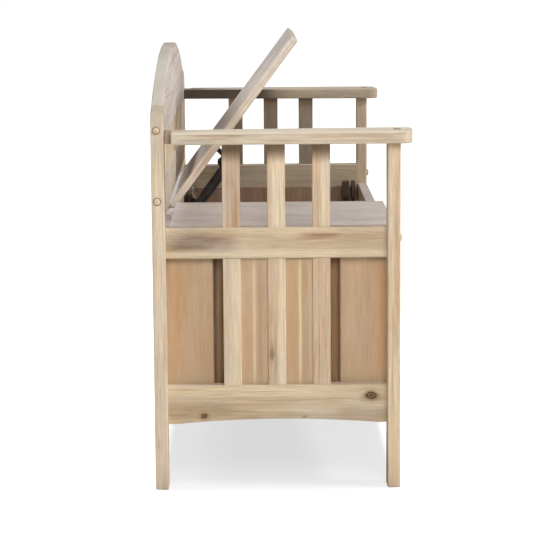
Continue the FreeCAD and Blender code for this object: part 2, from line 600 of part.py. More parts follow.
def stay(sx, angle):
    """Arm, damper, elbow pin, link and lid bracket of one stay with its lid
    open by `angle` degrees."""
    b = tilt_point(STAY_B_CLOSED, angle)
    e = (STAY_A[0] + b[0] - H[0], STAY_A[1] + b[1] - H[1])

    # strap and damper tube, given as they stand when the lid is open
    turn = angle - OPEN_DEG
    p = tilt_point(DAMP_OPEN[0], turn, STAY_A)
    q = tilt_point(DAMP_OPEN[1], turn, STAY_A)
    strap = slot_plate(STAY_A, p, 6.5, sx * ARM_X[0], sx * ARM_X[1])
    for a, c in ((p, q), (q, e)):
        strap = strap.fuse(slot_plate(a, c, 6.5, sx * ARM_X[0], sx * ARM_X[1]))
    strap = strap.removeSplitter()
    strap = strap.cut(cyl(yz(STAY_A, sx * (ARM_X[0] - 5)), yz(STAY_A, sx * (ARM_X[1] + 5)), 4.06))
    strap = strap.cut(cyl(yz(e, sx * (ARM_X[0] - 5)), yz(e, sx * (ARM_X[1] + 5)), 4.0))

    u = ((q[0] - p[0]), (q[1] - p[1]))
    n = math.hypot(*u)
    u = (u[0] / n, u[1] / n)
    xc = sx * (ARM_X[0] - DAMP_R - 0.6)

    def at(t):
        return (xc, p[0] + u[0] * t, p[1] + u[1] * t)

    body = cyl(at(28.0), at(n), DAMP_R)
    body = body.makeFillet(1.6, [ed for ed in body.Edges if isinstance(ed.Curve, Part.Circle)
                                 and ed.CenterOfMass.sub(V(*at(n))).Length < 1.0])
    neck = cyl(at(0.0), at(28.5), DAMP_R - 1.6)
    collar = cyl(at(21.0), at(24.6), DAMP_R - 1.2)
    damper = body.fuse(neck).fuse(collar).removeSplitter()
    # saddles tie the tube to the strap
    for t0, t1 in ((34.0, 46.0), (n - 26.0, n - 14.0)):
        a0, a1 = at(t0), at(t1)
        px, pz = -u[1], u[0]
        w = 5.5
        saddle = prism_x([(a0[1] + px * w, a0[2] + pz * w), (a1[1] + px * w, a1[2] + pz * w),
                          (a1[1] - px * w, a1[2] - pz * w), (a0[1] - px * w, a0[2] - pz * w)],
                         sx * (ARM_X[0]), sx * (ARM_X[0] - 8.0))
        damper = damper.fuse(saddle)
    damper = damper.removeSplitter()

    x_in, x_out = HEAD_X[0], ARM_X[1]
    pin = cyl(yz(e, sx * HEAD_X[1]), yz(e, sx * x_out), 4.0)
    head = cyl(yz(e, sx * HEAD_X[0]), yz(e, sx * HEAD_X[1]), 11.0)
    head = head.makeFillet(1.4, [ed for ed in head.Edges if isinstance(ed.Curve, Part.Circle)
                                 and abs(ed.CenterOfMass.x) < HEAD_X[0] + 0.1])
    elbow = pin.fuse(head).removeSplitter()

    k = (b[0] + LINK_BEND[0], b[1] + LINK_BEND[1])
    link = slot_plate(e, k, 5.3, sx * LINK_X[0], sx * LINK_X[1])
    link = link.fuse(slot_plate(k, b, 5.3, sx * LINK_X[0], sx * LINK_X[1]))
    for c in (e, b):
        link = link.fuse(cyl(yz(c, sx * LINK_X[0]), yz(c, sx * LINK_X[1]), 6.5))
    link = link.removeSplitter()
    link = link.cut(cyl(yz(e, sx * (LINK_X[0] - 5)), yz(e, sx * (LINK_X[1] + 5)), 4.06))
    link = link.cut(cyl(yz(b, sx * (LINK_X[0] - 5)), yz(b, sx * (LINK_X[1] + 5)), PIN_B_R + 0.3))

    # lid bracket, built with the lid closed and then tilted with it
    bc = STAY_B_CLOSED
    ear = slot_plate(bc, (bc[0], LID_Z[0] - 3.0), 7.0, sx * ARM_X[0], sx * ARM_X[1])
    ear = ear.common(box(-600, 600, bc[0] - 20, bc[0] + 20, 300, LID_Z[0]))
    ear = ear.fuse(box(sx * ARM_X[0], sx * ARM_X[1], bc[0] - 7.0, bc[0] + 7.0, bc[1], LID_Z[0]))
    foot = box(sx * (ARM_X[0] - 17.0), sx * ARM_X[1], bc[0] - 19.0, bc[0] + 19.0, LID_Z[0] - 2.0, LID_Z[0])
    foot = foot.makeFillet(3.0, long_edges(foot, 2))
    bpin = cyl(yz(bc, sx * (LINK_X[0] - 1.0)), yz(bc, sx * ARM_X[1]), PIN_B_R)
    bcap = cyl(yz(bc, sx * (LINK_X[0] - 2.5)), yz(bc, sx * (LINK_X[0] - 0.5)), 6.0)
    bracket = ear.fuse(foot).fuse(bpin).fuse(bcap).removeSplitter()
    spots = [((sx * (ARM_X[0] - 12.0), bc[0] + dy, LID_Z[0] - 2.0), (0, 0, -1), 12.0) for dy in (-13.0, 13.0)]
    for o, nn, length in spots:
        bracket = bracket.cut(screw_hole(o, nn, 3.0))
    return strap, damper, elbow, link, tilt(bracket, angle), spots


# ---- lids ------------------------------------------------------------------
for side, sx, angle in (("left", -1, 0.0), ("right", 1, OPEN_DEG)):
    strap, damper, elbow, link, bracket, spots = stay(sx, angle)
    save("stay_arm_" + side, strap)
    save("stay_damper_" + side, damper)
    save("stay_elbow_pin_" + side, elbow)
    save("stay_link_" + side, link)
    save("stay_lid_bracket_" + side, bracket)

    lid = box(sx * LID_X[0], sx * LID_X[1], *LID_Y, *LID_Z)
    lid = lid.makeFillet(2.6, long_edges(lid, 2))
    rims = [e for e in lid.Edges if abs(e.BoundBox.ZMin - e.BoundBox.ZMax) < 1e-6]
    lid = lid.makeFillet(2.2, rims)
    leaves, screws = [], []
    for hx in HINGE_X:
        cx = sx * hx
        lf = leaf(cx, "lid")
        for dx, y in zip(SCREW_DX, LID_SCREW_Y):
            spot = ((cx + dx, y, LID_Z[0] - LEAF_T), (0, 0, -1), 14.0)
            lf = lf.cut(screw_hole(spot[0], spot[1], 3.0))
            spots.append(spot)
        leaves.append(lf)
    lid = lid.cut(Part.makeCompound([screw_hole(*s) for s in spots]))
    save("lid_" + side, tilt(lid, angle))
    save("hinge_lid_leaves_" + side, *[tilt(lf, angle) for lf in leaves])
    save("lid_screws_" + side, *[tilt(wood_screw(*s), angle) for s in spots])

print("stay pivots closed", STAY_A, E_CLOSED, STAY_B_CLOSED)
print("arch radius", round(ARCH_R, 1), "nodes", len(os.listdir("parts")))
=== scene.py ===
import math

import bpy
from mathutils import Matrix, Vector

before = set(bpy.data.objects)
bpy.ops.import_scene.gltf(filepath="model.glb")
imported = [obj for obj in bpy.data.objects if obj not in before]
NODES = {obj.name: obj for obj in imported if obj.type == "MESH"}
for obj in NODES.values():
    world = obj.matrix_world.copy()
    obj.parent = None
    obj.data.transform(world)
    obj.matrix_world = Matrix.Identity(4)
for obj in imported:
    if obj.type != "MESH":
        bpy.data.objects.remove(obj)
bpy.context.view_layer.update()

# ---------------------------------------------------------------------------
# Looks of the settle bench.  Metres, row frame: +X along the bench to its
# right-hand end, +Y to the back, +Z up.  Every material is procedural.
# ---------------------------------------------------------------------------
scene = bpy.context.scene

OPEN = math.radians(53.2)
HINGE = (0.0, 0.214, 0.4335)


def srgb(c):
    """sRGB 0..255 to a linear colour."""
    out = []
    for v in c:
        v = v / 255.0
        out.append(v / 12.92 if v <= 0.04045 else ((v + 0.055) / 1.055) ** 2.4)
    return (out[0], out[1], out[2], 1.0)


lin = srgb


# ---- small shader-building kit ---------------------------------------------
class Mat:
    def __init__(self, name):
        self.mat = bpy.data.materials.new(name)
        self.mat.use_nodes = True
        self.tree = self.mat.node_tree
        self.tree.nodes.clear()
        self.out = self.tree.nodes.new("ShaderNodeOutputMaterial")
        self.bsdf = self.tree.nodes.new("ShaderNodeBsdfPrincipled")
        self.tree.links.new(self.bsdf.outputs[0], self.out.inputs[0])
        self._tc = None

    def put(self, socket, value):
        if isinstance(value, bpy.types.NodeSocket):
            self.tree.links.new(value, socket)
        elif value is not None:
            socket.default_value = value

    def node(self, kind, **props):
        n = self.tree.nodes.new(kind)
        for k, v in props.items():
            setattr(n, k, v)
        return n

    def coords(self, which="Object"):
        if self._tc is None:
            self._tc = self.node("ShaderNodeTexCoord")
        return self._tc.outputs[which]

    def math(self, op, a, b=0.0, c=None, clamp=False):
        n = self.node("ShaderNodeMath", operation=op, use_clamp=clamp)
        self.put(n.inputs[0], a)
        self.put(n.inputs[1], b)
        if c is not None:
            self.put(n.inputs[2], c)
        return n.outputs[0]

    def add(self, a, b): return self.math("ADD", a, b)
    def sub(self, a, b): return self.math("SUBTRACT", a, b)
    def mul(self, a, b): return self.math("MULTIPLY", a, b)

    def vmath(self, op, a, b=(0, 0, 0)):
        n = self.node("ShaderNodeVectorMath", operation=op)
        self.put(n.inputs[0], a)
        self.put(n.inputs[1], b)
        return n.outputs[1] if op in ("LENGTH", "DISTANCE", "DOT_PRODUCT") else n.outputs[0]

    def scale(self, v, s):
        n = self.node("ShaderNodeVectorMath", operation="SCALE")
        self.put(n.inputs[0], v)
        self.put(n.inputs[3], s)
        return n.outputs[0]

    def sep(self, v):
        n = self.node("ShaderNodeSeparateXYZ")
        self.put(n.inputs[0], v)
        return n.outputs[0], n.outputs[1], n.outputs[2]

    def comb(self, x, y, z):
        n = self.node("ShaderNodeCombineXYZ")
        for i, v in enumerate((x, y, z)):
            self.put(n.inputs[i], v)
        return n.outputs[0]

    def noise(self, vec, scale=1.0, detail=2.0, rough=0.5, dist=0.0):
        n = self.node("ShaderNodeTexNoise")
        self.put(n.inputs["Vector"], vec)
        self.put(n.inputs["Scale"], scale)
        self.put(n.inputs["Detail"], detail)
        self.put(n.inputs["Roughness"], rough)
        self.put(n.inputs["Distortion"], dist)
        return n.outputs["Fac"] if "Fac" in n.outputs else n.outputs[0]

    def white(self, value):
        n = self.node("ShaderNodeTexWhiteNoise", noise_dimensions="1D")
        self.put(n.inputs["W"], value)
        return n.outputs["Value"], n.outputs["Color"]

    def ramp(self, fac, stops, interp="LINEAR"):
        n = self.node("ShaderNodeValToRGB")
        cr = n.color_ramp
        cr.interpolation = interp
        while len(cr.elements) < len(stops):
            cr.elements.new(0.5)
        for e, (p, c) in zip(cr.elements, stops):
            e.position = p
            e.color = c if isinstance(c, tuple) else (c, c, c, 1.0)
        self.put(n.inputs[0], fac)
        return n.outputs[0]

    def smooth(self, v, a, b, lo=0.0, hi=1.0):
        n = self.node("ShaderNodeMapRange", interpolation_type="SMOOTHSTEP")
        self.put(n.inputs[0], v)
        for i, x in enumerate((a, b, lo, hi)):
            self.put(n.inputs[1 + i], x)
        return n.outputs[0]

    def mix(self, fac, a, b, blend="MIX"):
        n = self.node("ShaderNodeMix", data_type="RGBA", blend_type=blend)
        self.put(n.inputs[0], fac)
        self.put(n.inputs[6], a)
        self.put(n.inputs[7], b)
        return n.outputs[2]

    def bell(self, v, centre, half):
        """1 at the centre, 0 beyond about twice the half width."""
        d = self.mul(self.sub(v, centre), 1.0 / half)
        return self.math("POWER", 2.718, self.mul(self.mul(d, d), -1.0))

    def bump(self, height, distance=0.0006, strength=0.6):
        n = self.node("ShaderNodeBump")
        n.inputs["Strength"].default_value = strength
        n.inputs["Distance"].default_value = distance
        self.put(n.inputs["Height"], height)
        self.tree.links.new(n.outputs[0], self.bsdf.inputs["Normal"])


def closed(m, tilted, which="Object"):
    """Coordinates in the closed lid's frame for a lid modelled open."""
    p = m.coords(which)
    if not tilted:
        return p
    n = m.node("ShaderNodeVectorRotate", rotation_type="AXIS_ANGLE")
    m.put(n.inputs["Vector"], p)
    n.inputs["Center"].default_value = HINGE if which == "Object" else (0, 0, 0)
    n.inputs["Axis"].default_value = (1, 0, 0)
    n.inputs["Angle"].default_value = OPEN
    return n.outputs[0]


AX = {"X": 0, "Y": 1, "Z": 2}


def wood(name, grain="Z", seed=0.0, light=(226, 206, 172), mid=(206, 180, 142), dark=(158, 124, 88),
         ring=1.0, ring_freq=38.0, theta=0.6, lime=0.35, lime_col=(222, 212, 200), pores=0.5, top_tint=0.55,
         top_col=(196, 184, 176), cell=None, knots=(), streaks=(), tilted=False, rough=0.62, cell_var=0.25,
         fibre=1.0, extra=None, spec=0.32, wander=1.0, gain=(1.0, 1.0, 1.0), lines=0.5, inner_shade=None, shade=()):
    """Limed wood.  grain: axis of the fibres.  cell: (axis, pitch, offset),
    one board of a node of many.  knots: (along, across, cross axis, half
    length, half width, strength).  streaks: (cross axis, at, half width,
    from, to, strength, colour)."""
    m = Mat(name)

    def lin(c):
        r = srgb(c)
        return (r[0] * gain[0], r[1] * gain[1], r[2] * gain[2], 1.0)

    p = closed(m, tilted)
    px, py, pz = m.sep(p)
    axes = (px, py, pz)
    L = axes[AX[grain]]
    others = [i for i in range(3) if i != AX[grain]]
    C1, C2 = axes[others[0]], axes[others[1]]
    if cell:
        a, pitch, off = cell
        idx = m.math("FLOOR", m.mul(m.add(axes[AX[a]], off), 1.0 / pitch))
        rv, rc = m.white(m.add(idx, seed * 1.37 + 0.31))
        r1, r2, r3 = m.sep(rc)
    else:
        rv, r1, r2, r3 = 0.5, 0.37 + 0.11 * math.sin(seed), 0.41, 0.73
    # each board is cut from another part of the tree
    Lo = m.add(L, m.add(m.mul(r1, 4.0), seed * 0.713)) if cell else m.add(L, seed * 0.713 + 0.3)
    D1 = m.add(C1, m.add(m.mul(r2, 1.7), seed * 0.219)) if cell else m.add(C1, seed * 0.219)
    D2 = m.add(C2, m.add(m.mul(r3, 1.3), seed * 0.357)) if cell else m.add(C2, seed * 0.357)

    knot_dark = None
    for along, across, cax, hl, hw, strength in knots:
        ci = AX[cax]
        dl = m.mul(m.sub(L, along), 1.0 / hl)
        cc = axes[ci]
        rough_edge = m.mul(m.sub(m.noise(m.comb(m.mul(L, 90.0), m.mul(cc, 90.0), seed), 1.0, 2.0), 0.5), 0.5)
        dc = m.mul(m.sub(cc, across), 1.0 / hw)
        d2 = m.add(m.mul(dl, dl), m.mul(dc, dc))
        dist = m.add(m.math("SQRT", d2), rough_edge)
        fall = m.math("POWER", 2.718, m.mul(d2, -0.42))
        push = m.math("DIVIDE", dc, m.add(m.math("ABSOLUTE", dc), 0.35))
        shift = m.mul(m.mul(fall, push), 1.25 * hw)
        if ci == others[0]:
            D1 = m.sub(D1, shift)
        else:
            D2 = m.sub(D2, shift)
        core = m.smooth(dist, 1.12, 0.50)
        rings_k = m.math("MULTIPLY_ADD", m.math("SINE", m.mul(dist, 15.0)), 0.30, 0.70)
        halo = m.smooth(dist, 2.1, 0.8)
        amount = m.mul(m.math("ADD", m.mul(core, rings_k), m.mul(halo, 0.28)), strength)
        knot_dark = amount if knot_dark is None else m.math("MAXIMUM", knot_dark, amount)

    q = m.comb(Lo, D1, D2)
    slow = m.noise(m.vmath("MULTIPLY", q, (1.6, 20.0, 20.0)), 1.0, 3.0, 0.55)
    warp = m.noise(m.vmath("MULTIPLY", q, (1.3, 6.5, 6.5)), 1.0, 2.0, 0.5)
    t = m.add(m.add(m.mul(D1, ring_freq * math.cos(theta)), m.mul(D2, ring_freq * math.sin(theta))),
              m.mul(warp, 2.6 * wander))
    rings = m.noise(m.comb(t, m.mul(Lo, 0.55), seed), 1.0, 4.0, 0.62)
    rings2 = m.noise(m.comb(m.mul(t, 3.4), m.mul(Lo, 1.6), seed + 3.0), 1.0, 3.0, 0.6)
    fibres = m.noise(m.vmath("MULTIPLY", q, (18.0, 400.0, 400.0)), 1.0, 3.0, 0.65)
    line = m.noise(m.vmath("MULTIPLY", q, (5.0, 235.0, 235.0)), 1.0, 3.0, 0.6)
    stroke = m.noise(m.vmath("MULTIPLY", q, (20.0, 900.0, 900.0)), 1.0, 1.0, 0.5)
    patch = m.noise(m.vmath("MULTIPLY", q, (7.0, 26.0, 26.0)), 1.0, 5.0, 0.62)

    col = m.mix(m.smooth(slow, 0.34, 0.68), lin(mid), lin(light))
    col = m.mix(m.mul(m.smooth(rings, 0.42, 0.70), 0.85 * ring), col, lin(dark))
    col = m.mix(m.mul(m.smooth(rings2, 0.50, 0.72), 0.34 * ring), col, lin(dark))
    if cell:
        tone = m.math("MULTIPLY_ADD", rv, 2.0 * cell_var, 1.0 - cell_var)
        col = m.mix(1.0, col, m.comb(tone, tone, tone), "MULTIPLY")
    for cax, at, half, lo, hi, strength, colour in streaks:
        w = m.add(axes[AX[cax]], m.mul(m.sub(warp, 0.5), half * 1.8))
        s = m.bell(w, at, half)
        s = m.mul(s, m.mul(m.smooth(L, lo - 0.02, lo + 0.02), m.smooth(L, hi + 0.02, hi - 0.02)))
        s = m.mul(s, m.math("MULTIPLY_ADD", rings2, 0.9, 0.55))
        col = m.mix(m.math("MULTIPLY", s, strength, clamp=True), col, lin(colour))
    f = m.math("MULTIPLY_ADD", fibres, 0.85 * fibre, 1.0 - 0.425 * fibre)
    col = m.mix(1.0, col, m.comb(f, f, f), "MULTIPLY")
    col = m.mix(m.mul(m.smooth(line, 0.52, 0.72), lines * 0.60), col, lin(dark))
    col = m.mix(m.mul(m.smooth(line, 0.46, 0.30), lines * 0.38), col, lin(light))
    pore = m.mul(m.smooth(stroke, 0.60, 0.74), 0.40 * pores)
    col = m.mix(pore, col, lin((112, 84, 58)))
    # lime wash lies in patches
    wash = m.mul(m.smooth(patch, 0.40, 0.74), lime)
    col = m.mix(wash, col, lin(lime_col))
    if knot_dark is not None:
        kd = m.math("MINIMUM", knot_dark, 1.0)
        col = m.mix(kd, col, m.mix(m.smooth(kd, 0.45, 0.95), lin((150, 112, 76)), lin((96, 70, 50))))
    # upward faces turn grey-pink: partly the weathered finish, partly painted light from overhead
    if top_tint:
        nz = m.sep(closed(m, tilted, "Normal"))[2]
        up = m.mul(m.smooth(nz, 0.45, 0.9), top_tint)
        col = m.mix(up, col, m.mix(m.smooth(patch, 0.35, 0.7), lin(top_col),
                                   lin(tuple(min(255, c + 16) for c in top_col))))
    if inner_shade:
        # painted shade: faces turned to the seat are darkened, standing in for the shade at the far end
        nx = m.sep(m.coords("Normal"))[0]
        k = m.smooth(m.mul(nx, -1.0), 0.4, 0.9)
        g = m.math("MULTIPLY_ADD", k, inner_shade - 1.0, 1.0)
        col = m.mix(1.0, col, m.comb(g, g, g), "MULTIPLY")
    for ax, a, b, amount, colour in shade:
        # mostly painted shade and painted light, growing from a to b along one axis
        k = m.smooth(m.add(axes[AX[ax]], m.mul(m.sub(patch, 0.5), 0.010)), a, b)
        col = m.mix(m.mul(k, amount), col, srgb(colour))
    if extra:
        col = extra(m, col, axes, dict(patch=patch, fibres=fibres, rings=rings, slow=slow, warp=warp))
    m.put(m.bsdf.inputs["Base Color"], col)
    r = m.math("MULTIPLY_ADD", patch, 0.22, rough - 0.10)
    m.put(m.bsdf.inputs["Roughness"], r)
    m.bsdf.inputs["Specular IOR Level"].default_value = spec
    h = m.add(m.mul(fibres, 0.5), m.mul(m.smooth(stroke, 0.58, 0.74), -0.7))
    h = m.add(h, m.mul(rings2, 0.25))
    m.bump(h, 0.0004, 0.55)
    return m.mat


def metal(name, base=(150, 146, 138), dark=(90, 86, 80), rough=0.38, scale=220.0, metallic=1.0, wear=(190, 186, 178),
          wear_amount=0.3, seed=0.0, spec=0.5, marks=None):
    m = Mat(name)
    p = m.coords()
    q = m.vmath("ADD", p, (seed, seed * 0.5, 0))
    n1 = m.noise(q, scale * 0.25, 4.0, 0.6)
    n2 = m.noise(m.vmath("MULTIPLY", q, (60.0, scale * 4, scale * 4)), 1.0, 2.0, 0.6)
    n3 = m.noise(q, scale * 2.2, 3.0, 0.7)
    col = m.mix(m.smooth(n1, 0.35, 0.7), lin(dark), lin(base))
    col = m.mix(m.mul(m.smooth(n3, 0.52, 0.72), wear_amount), col, lin(wear))
    if marks:
        col = marks(m, col)
    m.put(m.bsdf.inputs["Base Color"], col)
    m.bsdf.inputs["Metallic"].default_value = metallic
    m.put(m.bsdf.inputs["Roughness"], m.math("MULTIPLY_ADD", n2, 0.25, rough - 0.12))
    m.bsdf.inputs["Specular IOR Level"].default_value = spec
    m.bump(m.add(m.mul(n2, 0.4), n3), 0.0001, 0.4)
    return m.mat


def use(mat, *names):
    for n in names:
        o = NODES[n]
        o.data.materials.clear()
        o.data.materials.append(mat)


# ---- woods of the pieces ---------------------------------------------------
CREAM, PALE = (226, 207, 176), (218, 194, 156)


def haze(z0, z1, colour=(182, 164, 132), amount=0.6, low=0.030, high=0.022):
    """Greyish wash that the finish leaves near a board's two ends."""
    def f(m, col, axes, n):
        z = axes[2]
        b = m.smooth(z, z0 + low, z0 + 0.004)
        t = m.smooth(z, z1 - high, z1 - 0.003)
        k = m.mul(m.math("MAXIMUM", b, t), m.math("MULTIPLY_ADD", n["patch"], 1.3, 0.0, clamp=True))
        return m.mix(m.math("MULTIPLY", k, amount, clamp=True), col, srgb(colour))
    return f


POST = dict(grain="Z", light=(224, 208, 184), mid=(213, 195, 168), dark=(172, 142, 112), ring=0.35, lime=0.30,
            top_tint=0.75, top_col=(184, 178, 164), fibre=1.1, lines=0.7)
use(wood("post_back_left", seed=1.0, knots=[(0.083, 0.226, "Y", 0.010, 0.006, 0.35)],
         streaks=[("Y", 0.228, 0.004, 0.10, 0.44, 0.35, (200, 172, 140)), ("Y", 0.219, 0.006, 0.18, 0.60, 0.5, CREAM),
                  ("Y", 0.212, 0.003, 0.0, 0.30, 0.4, (190, 160, 126))],
         # painted shade greys the post toward its top, partly its own tone, to hide the lit step to the crest; painted
         # light pales it toward the floor
         shade=[("Z", 0.56, 0.66, 0.35, (196, 182, 160)), ("Z", 0.645, 0.680, 0.80, (174, 162, 142)),
                ("Z", 0.26, 0.04, 0.45, (236, 216, 186))], **POST), "back_post_left")
use(wood("post_back_right", seed=2.0, **POST), "back_post_right")
FPOST = dict(POST, light=(222, 202, 172), mid=(210, 186, 154), dark=(164, 128, 94), ring=0.5, lines=1.0)
use(wood("post_front_left", seed=3.0,
         streaks=[("Y", -0.203, 0.0022, 0.30, 0.58, 0.5, (188, 152, 116)), ("Y", -0.195, 0.002, 0.0, 0.33, 0.5, (184, 148, 110)),
                  ("Y", -0.189, 0.004, 0.40, 0.62, 0.4, (206, 196, 178)), ("Y", -0.200, 0.004, 0.10, 0.26, 0.5, CREAM)],
         # painted light: the post is paler toward the floor
         shade=[("Z", 0.26, 0.04, 0.55, (240, 216, 182))], **FPOST), "front_post_left")
use(wood("post_front_right", seed=4.0, inner_shade=0.66, **FPOST), "front_post_right")

RAILX = dict(grain="X", light=(216, 204, 186), mid=(198, 182, 162), dark=(156, 132, 108), ring=0.7)
CREST = dict(RAILX, light=(230, 222, 218), mid=(212, 200, 192), dark=(160, 138, 124), top_tint=0.8, top_col=(184, 178, 164),
             lines=0.9)
use(wood("crest", seed=5.0, knots=[(-0.02, 0.74, "Z", 0.014, 0.009, 0.8)], **CREST), "crest_rail")
use(wood("back_rail", seed=6.0, **RAILX), "lower_back_rail")
FTOP = dict(RAILX, top_tint=0.9, top_col=(204, 194, 188))
use(wood("front_top", seed=7.0, **FTOP), "front_top_rail")
use(wood("front_low", seed=8.0, **RAILX), "front_lower_rail")
# painted light: the rail's top is tinted pale like the lid, lightening the shaded gap behind the closed lid
use(wood("box_back_top", seed=9.0, **dict(RAILX, top_tint=0.95, top_col=(214, 204, 198))), "box_back_top_rail")
use(wood("box_back_low", seed=10.0, **RAILX), "box_back_bottom_rail")

RAILY = dict(grain="Y", light=(218, 198, 166), mid=(204, 182, 150), dark=(158, 126, 94), ring=0.5, lines=0.6)
use(wood("seat_rail_left", seed=11.0,
         streaks=[("Z", 0.444, 0.0260, 0.085, 0.210, 0.80, (138, 112, 86)), ("Z", 0.424, 0.0065, -0.19, 0.21, 0.65, (226, 206, 174)),
                  ("Z", 0.450, 0.0120, 0.118, 0.190, 0.85, (122, 94, 72)),
                  ("Z", 0.440, 0.0060, 0.128, 0.196, 0.60, (112, 86, 66)),
                  ("Z", 0.457, 0.0050, 0.02, 0.130, 0.50, (160, 130, 100)),
                  ("Z", 0.457, 0.0042, -0.104, -0.036, 0.75, (140, 102, 72)),
                  ("Z", 0.451, 0.0030, -0.080, -0.010, 0.50, (158, 122, 90)),
                  ("Z", 0.452, 0.0150, -0.190, -0.100, 0.60, (176, 150, 116)),
                  ("Z", 0.446, 0.0100, 0.196, 0.212, 0.50, (176, 160, 134)),
                  ("Z", 0.464, 0.0040, -0.19, 0.13, 0.45, (206, 180, 144))], **RAILY), "seat_side_rail_left")
use(wood("seat_rail_right", seed=12.0, inner_shade=0.56, **RAILY), "seat_side_rail_right")
use(wood("low_rail_left", seed=13.0,
         knots=[(-0.157, 0.1645, "Z", 0.0150, 0.0098, 1.15), (0.143, 0.130, "Z", 0.0085, 0.0068, 1.05),
                (-0.038, 0.127, "Z", 0.005, 0.0025, 0.6)],
         streaks=[("Z", 0.178, 0.0080, -0.19, 0.21, 0.75, (224, 204, 170)),
                  ("Z", 0.160, 0.0045, -0.19, 0.10, 0.55, (188, 158, 124)),
                  ("Z", 0.150, 0.0040, -0.12, 0.18, 0.45, (192, 164, 128)),
                  ("Z", 0.128, 0.0120, -0.19, 0.21, 0.60, (172, 148, 116)),
                  ("Z", 0.146, 0.0200, 0.10, 0.21, 0.45, (164, 140, 110)),
                  ("Z", 0.140, 0.0060, -0.10, 0.05, 0.60, (222, 202, 168))], **RAILY), "lower_side_rail_left")
use(wood("low_rail_right", seed=14.0, inner_shade=0.6, **RAILY), "lower_side_rail_right")
ARM = dict(grain="Y", light=(209, 197, 176), mid=(199, 183, 158), dark=(158, 130, 103), ring=0.40, lines=0.6,
           top_col=(204, 194, 178))
use(wood("arm_left", seed=15.0,
         streaks=[("Z", 0.6375, 0.0020, 0.07, 0.155, 0.75, (150, 116, 84)), ("Z", 0.631, 0.0016, 0.09, 0.17, 0.6, (160, 128, 96)),
                  ("Z", 0.627, 0.0022, 0.12, 0.175, 0.6, (168, 164, 156)), ("Z", 0.635, 0.0016, -0.19, -0.05, 0.5, (168, 136, 104)),
                  # painted highlight: the pale streak at Z 0.641 runs along the arm's rounded top edge
                  ("Z", 0.641, 0.0020, -0.20, 0.19, 0.4, (214, 204, 190)), ("Z", 0.628, 0.0016, -0.21, 0.02, 0.45, (176, 144, 110))],
         # painted shade on the recessed neck behind the arm and at its joint with the post
         shade=[("Y", 0.1945, 0.1965, 0.60, (146, 122, 96)), ("Y", 0.2045, 0.2068, 0.70, (104, 78, 56))], **ARM), "armrest_left")


def arm_painted_shadow(m, col, axes, n):
    """Painted shadow: the rear half of the far arm, in the open lid's shade, is darkened nearly black-brown."""
    nx = m.sep(m.coords("Normal"))[0]
    k = m.mul(m.smooth(axes[1], -0.035, 0.045), m.smooth(m.mul(nx, -1.0), 0.4, 0.9))
    return m.mix(m.mul(k, 0.85), col, srgb((48, 38, 28)))


use(wood("arm_right", seed=16.0, inner_shade=0.72, extra=arm_painted_shadow, **ARM), "armrest_right")

SLAT = dict(grain="Z", light=(222, 202, 172), mid=(208, 184, 152), dark=(166, 132, 100), ring=0.35, cell_var=0.04,
            lines=0.7)
CELL_Y = ("Y", 0.080, 0.109)
use(wood("arm_slat_left", seed=17.0, cell=CELL_Y,
         streaks=[("Y", 0.091, 0.013, 0.46, 0.63, 0.80, (182, 148, 116)), ("Y", 0.098, 0.002, 0.46, 0.63, 0.6, (150, 116, 86)),
                  ("Y", 0.083, 0.002, 0.46, 0.63, 0.5, (160, 126, 94)), ("Y", 0.008, 0.011, 0.46, 0.60, 0.70, (230, 210, 180)),
                  ("Y", 0.024, 0.003, 0.46, 0.63, 0.6, (192, 160, 126)), ("Y", -0.058, 0.006, 0.46, 0.63, 0.65, (196, 164, 130)),
                  ("Y", -0.077, 0.006, 0.46, 0.63, 0.60, (224, 204, 176))],
         # painted shadow of the arm on the slat tops
         shade=[("Z", 0.582, 0.612, 0.72, (112, 84, 60))], **SLAT), "arm_slats_left")
# painted shadow of the arm on the slat tops
use(wood("arm_slat_right", seed=18.0, cell=CELL_Y, inner_shade=0.36, shade=[("Z", 0.585, 0.620, 0.5, (120, 92, 70))],
         **SLAT), "arm_slats_right")
use(wood("panel_slat_left", seed=19.0, cell=CELL_Y,
         knots=[(0.241, 0.0205, "Y", 0.0140, 0.0050, 0.65)],
         streaks=[("Y", 0.100, 0.0070, 0.18, 0.42, 0.60, (192, 164, 136)), ("Y", 0.082, 0.0070, 0.18, 0.42, 0.75, (224, 204, 172)),
                  ("Y", 0.018, 0.0080, 0.18, 0.42, 0.60, (192, 164, 134)), ("Y", 0.013, 0.0018, 0.19, 0.30, 0.6, (158, 134, 110)),
                  ("Y", 0.023, 0.0016, 0.19, 0.40, 0.5, (168, 138, 108)), ("Y", 0.001, 0.0050, 0.18, 0.42, 0.75, (228, 208, 178)),
                  ("Y", -0.069, 0.0140, 0.18, 0.42, 0.75, (198, 168, 138)), ("Y", -0.064, 0.0016, 0.18, 0.42, 0.5, (176, 142, 110))],
         **SLAT), "panel_slats_left")
use(wood("panel_slat_right", seed=20.0, cell=CELL_Y, **SLAT), "panel_slats_right")
use(wood("back_slat", seed=21.0, cell=("X", 0.084, 0.042), **dict(SLAT, cell_var=0.12)), "back_slats")
use(wood("front_slat", seed=22.0, cell=("X", 0.080, 0.007), **dict(SLAT, cell_var=0.12)), "front_slats")
use(wood("stile", seed=23.0, **POST), "front_center_stile")

